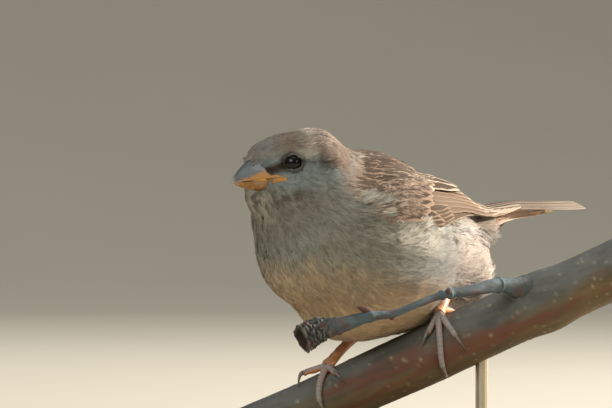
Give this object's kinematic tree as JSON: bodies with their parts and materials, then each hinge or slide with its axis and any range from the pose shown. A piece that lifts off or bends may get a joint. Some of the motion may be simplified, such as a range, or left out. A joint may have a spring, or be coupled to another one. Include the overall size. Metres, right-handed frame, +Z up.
{
  "type": "house sparrow",
  "caption": "Life-size young house sparrow, perched alert on a cut length of branch with its head turned to its right, held by a plain display stand.",
  "frame": {"origin": "centre of the stand base's flat underside, on the floor", "axes": "+Z up; +X along the branch as it rises, so the bird looks towards -X and its tail points to +X and +Y; +Y away from the side that the breast is turned to"},
  "size_m": [0.1162, 0.0906, 0.1062],
  "materials": {
    "plumage_head": "soft matt feathers, grey-brown above and grey-buff on the cheek",
    "plumage_body": "soft matt feathers, buffish grey below and streaked brown above",
    "plumage_wing": "brown vanes with dark centres and buff edges",
    "plumage_tail": "pale brown tail vanes with buff edges",
    "bill_horn": "grey horn with a yellow cutting edge",
    "bill_yellow": "yellow-orange horn with a greyish tip",
    "eye": "wet, dark brown",
    "leg_skin": "scaled pinkish-brown skin",
    "claw_horn": "dull brown horn",
    "bark": "smooth grey-green bark with pale pores",
    "stand_wood": "dark stained wood, satin",
    "stand_metal": "brushed"
  },
  "bodies": {
    "root": {"head": "plumage_head", "neck": "plumage_head", "trunk": "plumage_body", "thigh_left": "plumage_body", "thigh_right": "plumage_body", "wing_left_coverts": "plumage_wing", "wing_left_secondaries": "plumage_wing", "wing_left_primaries": "plumage_wing", "wing_right_coverts": "plumage_wing", "wing_right_secondaries": "plumage_wing", "wing_right_primaries": "plumage_wing", "tail": "plumage_tail", "bill_upper": "bill_horn", "bill_lower": "bill_yellow", "eye_left": "eye", "eye_right": "eye", "tarsus_left": "leg_skin", "tarsus_right": "leg_skin", "toe_left_inner": "leg_skin", "toe_left_middle": "leg_skin", "toe_left_outer": "leg_skin", "toe_left_hind": "leg_skin", "toe_right_inner": "leg_skin", "toe_right_middle": "leg_skin", "toe_right_outer": "leg_skin", "toe_right_hind": "leg_skin", "claw_left_inner": "claw_horn", "claw_left_middle": "claw_horn", "claw_left_outer": "claw_horn", "claw_left_hind": "claw_horn", "claw_right_inner": "claw_horn", "claw_right_middle": "claw_horn", "claw_right_outer": "claw_horn", "claw_right_hind": "claw_horn", "perch_branch": "bark", "perch_twig": "bark", "stand_base": "stand_wood", "stand_rod_left": "stand_metal", "stand_rod_right": "stand_metal"}
  },
  "joints": []
}
